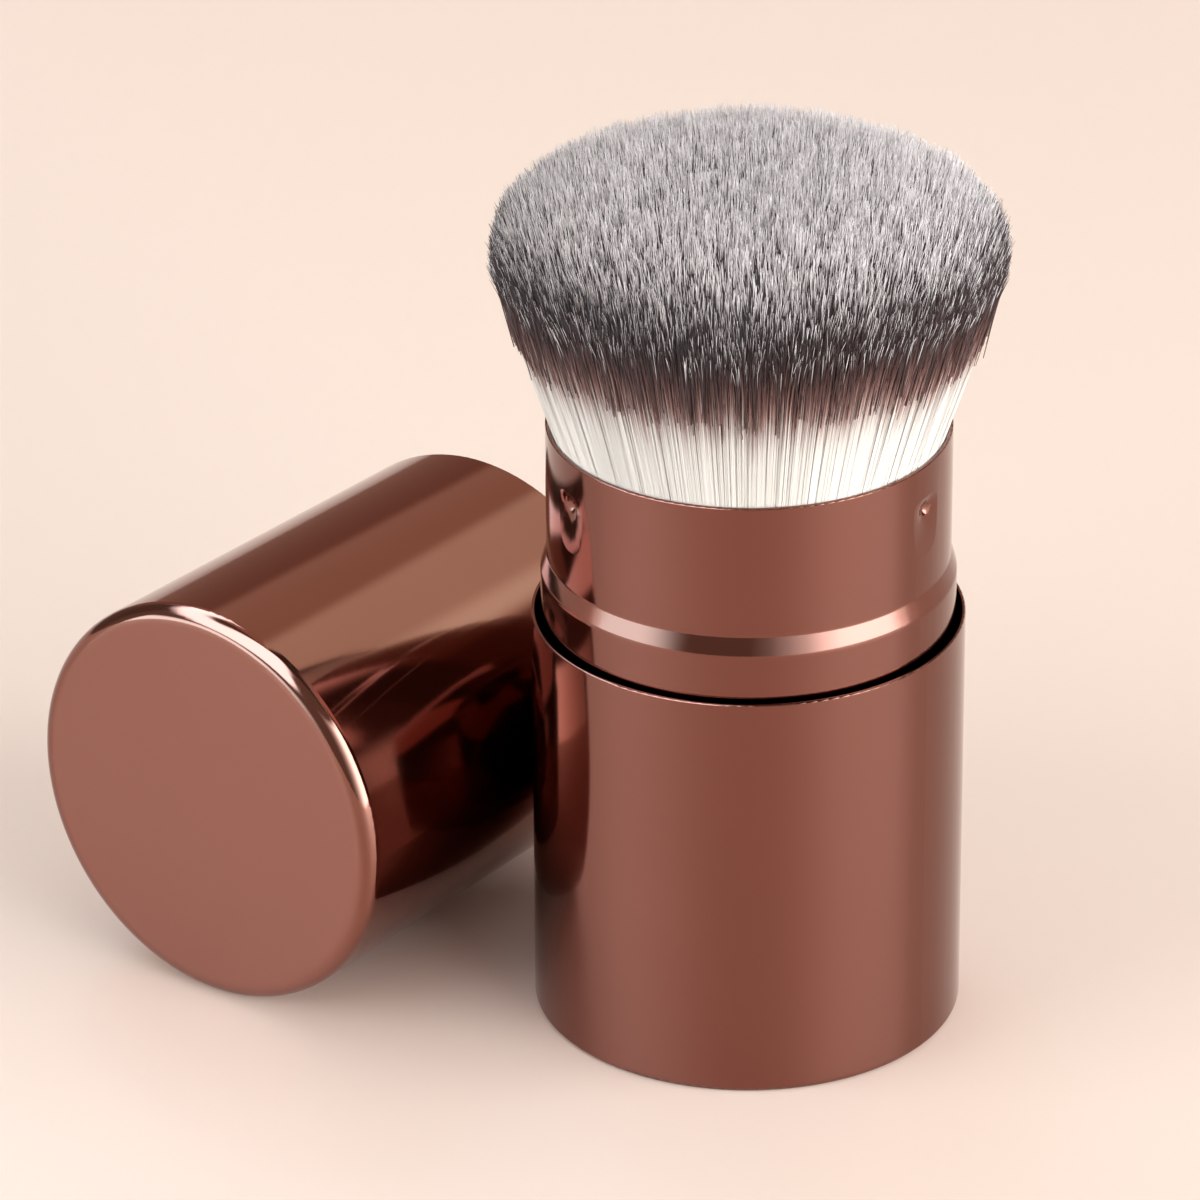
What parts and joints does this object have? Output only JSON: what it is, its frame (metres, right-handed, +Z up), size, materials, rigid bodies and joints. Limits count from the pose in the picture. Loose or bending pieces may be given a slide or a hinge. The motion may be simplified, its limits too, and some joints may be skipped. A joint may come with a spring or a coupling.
{
  "type": "kabuki makeup brush",
  "caption": "Retractable kabuki makeup brush: a dense flared bristle head in a crimped bronze ferrule that slides in a round base tube, with its slip-on cap lying beside it.",
  "frame": {"origin": "centre of the base tube's flat underside", "axes": "+Z up along the brush's axis, towards the bristles; the cap lies on its side at -X, its axis along Y, its closed end towards -Y"},
  "size_m": [0.0773, 0.0506, 0.0776],
  "materials": {
    "bronze_anodised": "gloss bronze anodising",
    "steel": "plain",
    "foam_tape": "matte",
    "black_plastic": "matte",
    "white_plastic": "matte",
    "black_rubber": "matte",
    "resin": "gloss",
    "bristles": "soft fibre, white at the root, dark brown above with silver tips"
  },
  "bodies": {
    "base": {"outer_tube": "bronze_anodised", "weight_tape": "foam_tape", "base_weight": "steel", "guide_sleeve": "black_plastic"},
    "brush": {"ferrule": "bronze_anodised", "bristle_cup": "white_plastic", "foot_ring": "black_plastic", "friction_ring": "black_rubber", "glue_plug": "resin", "bristle_tuft": "bristles"},
    "cap": {"cap_shell": "bronze_anodised"}
  },
  "joints": [
    {"name": "brush_slide", "type": "slide", "parent": "base", "child": "brush", "axis": [0, 0, 1], "range_m": [-0.016, 0]},
    {"name": "cap_slide", "type": "slide", "parent": "base", "child": "cap", "axis": [0, -1, 0], "range_m": [0, 0.06]}
  ]
}
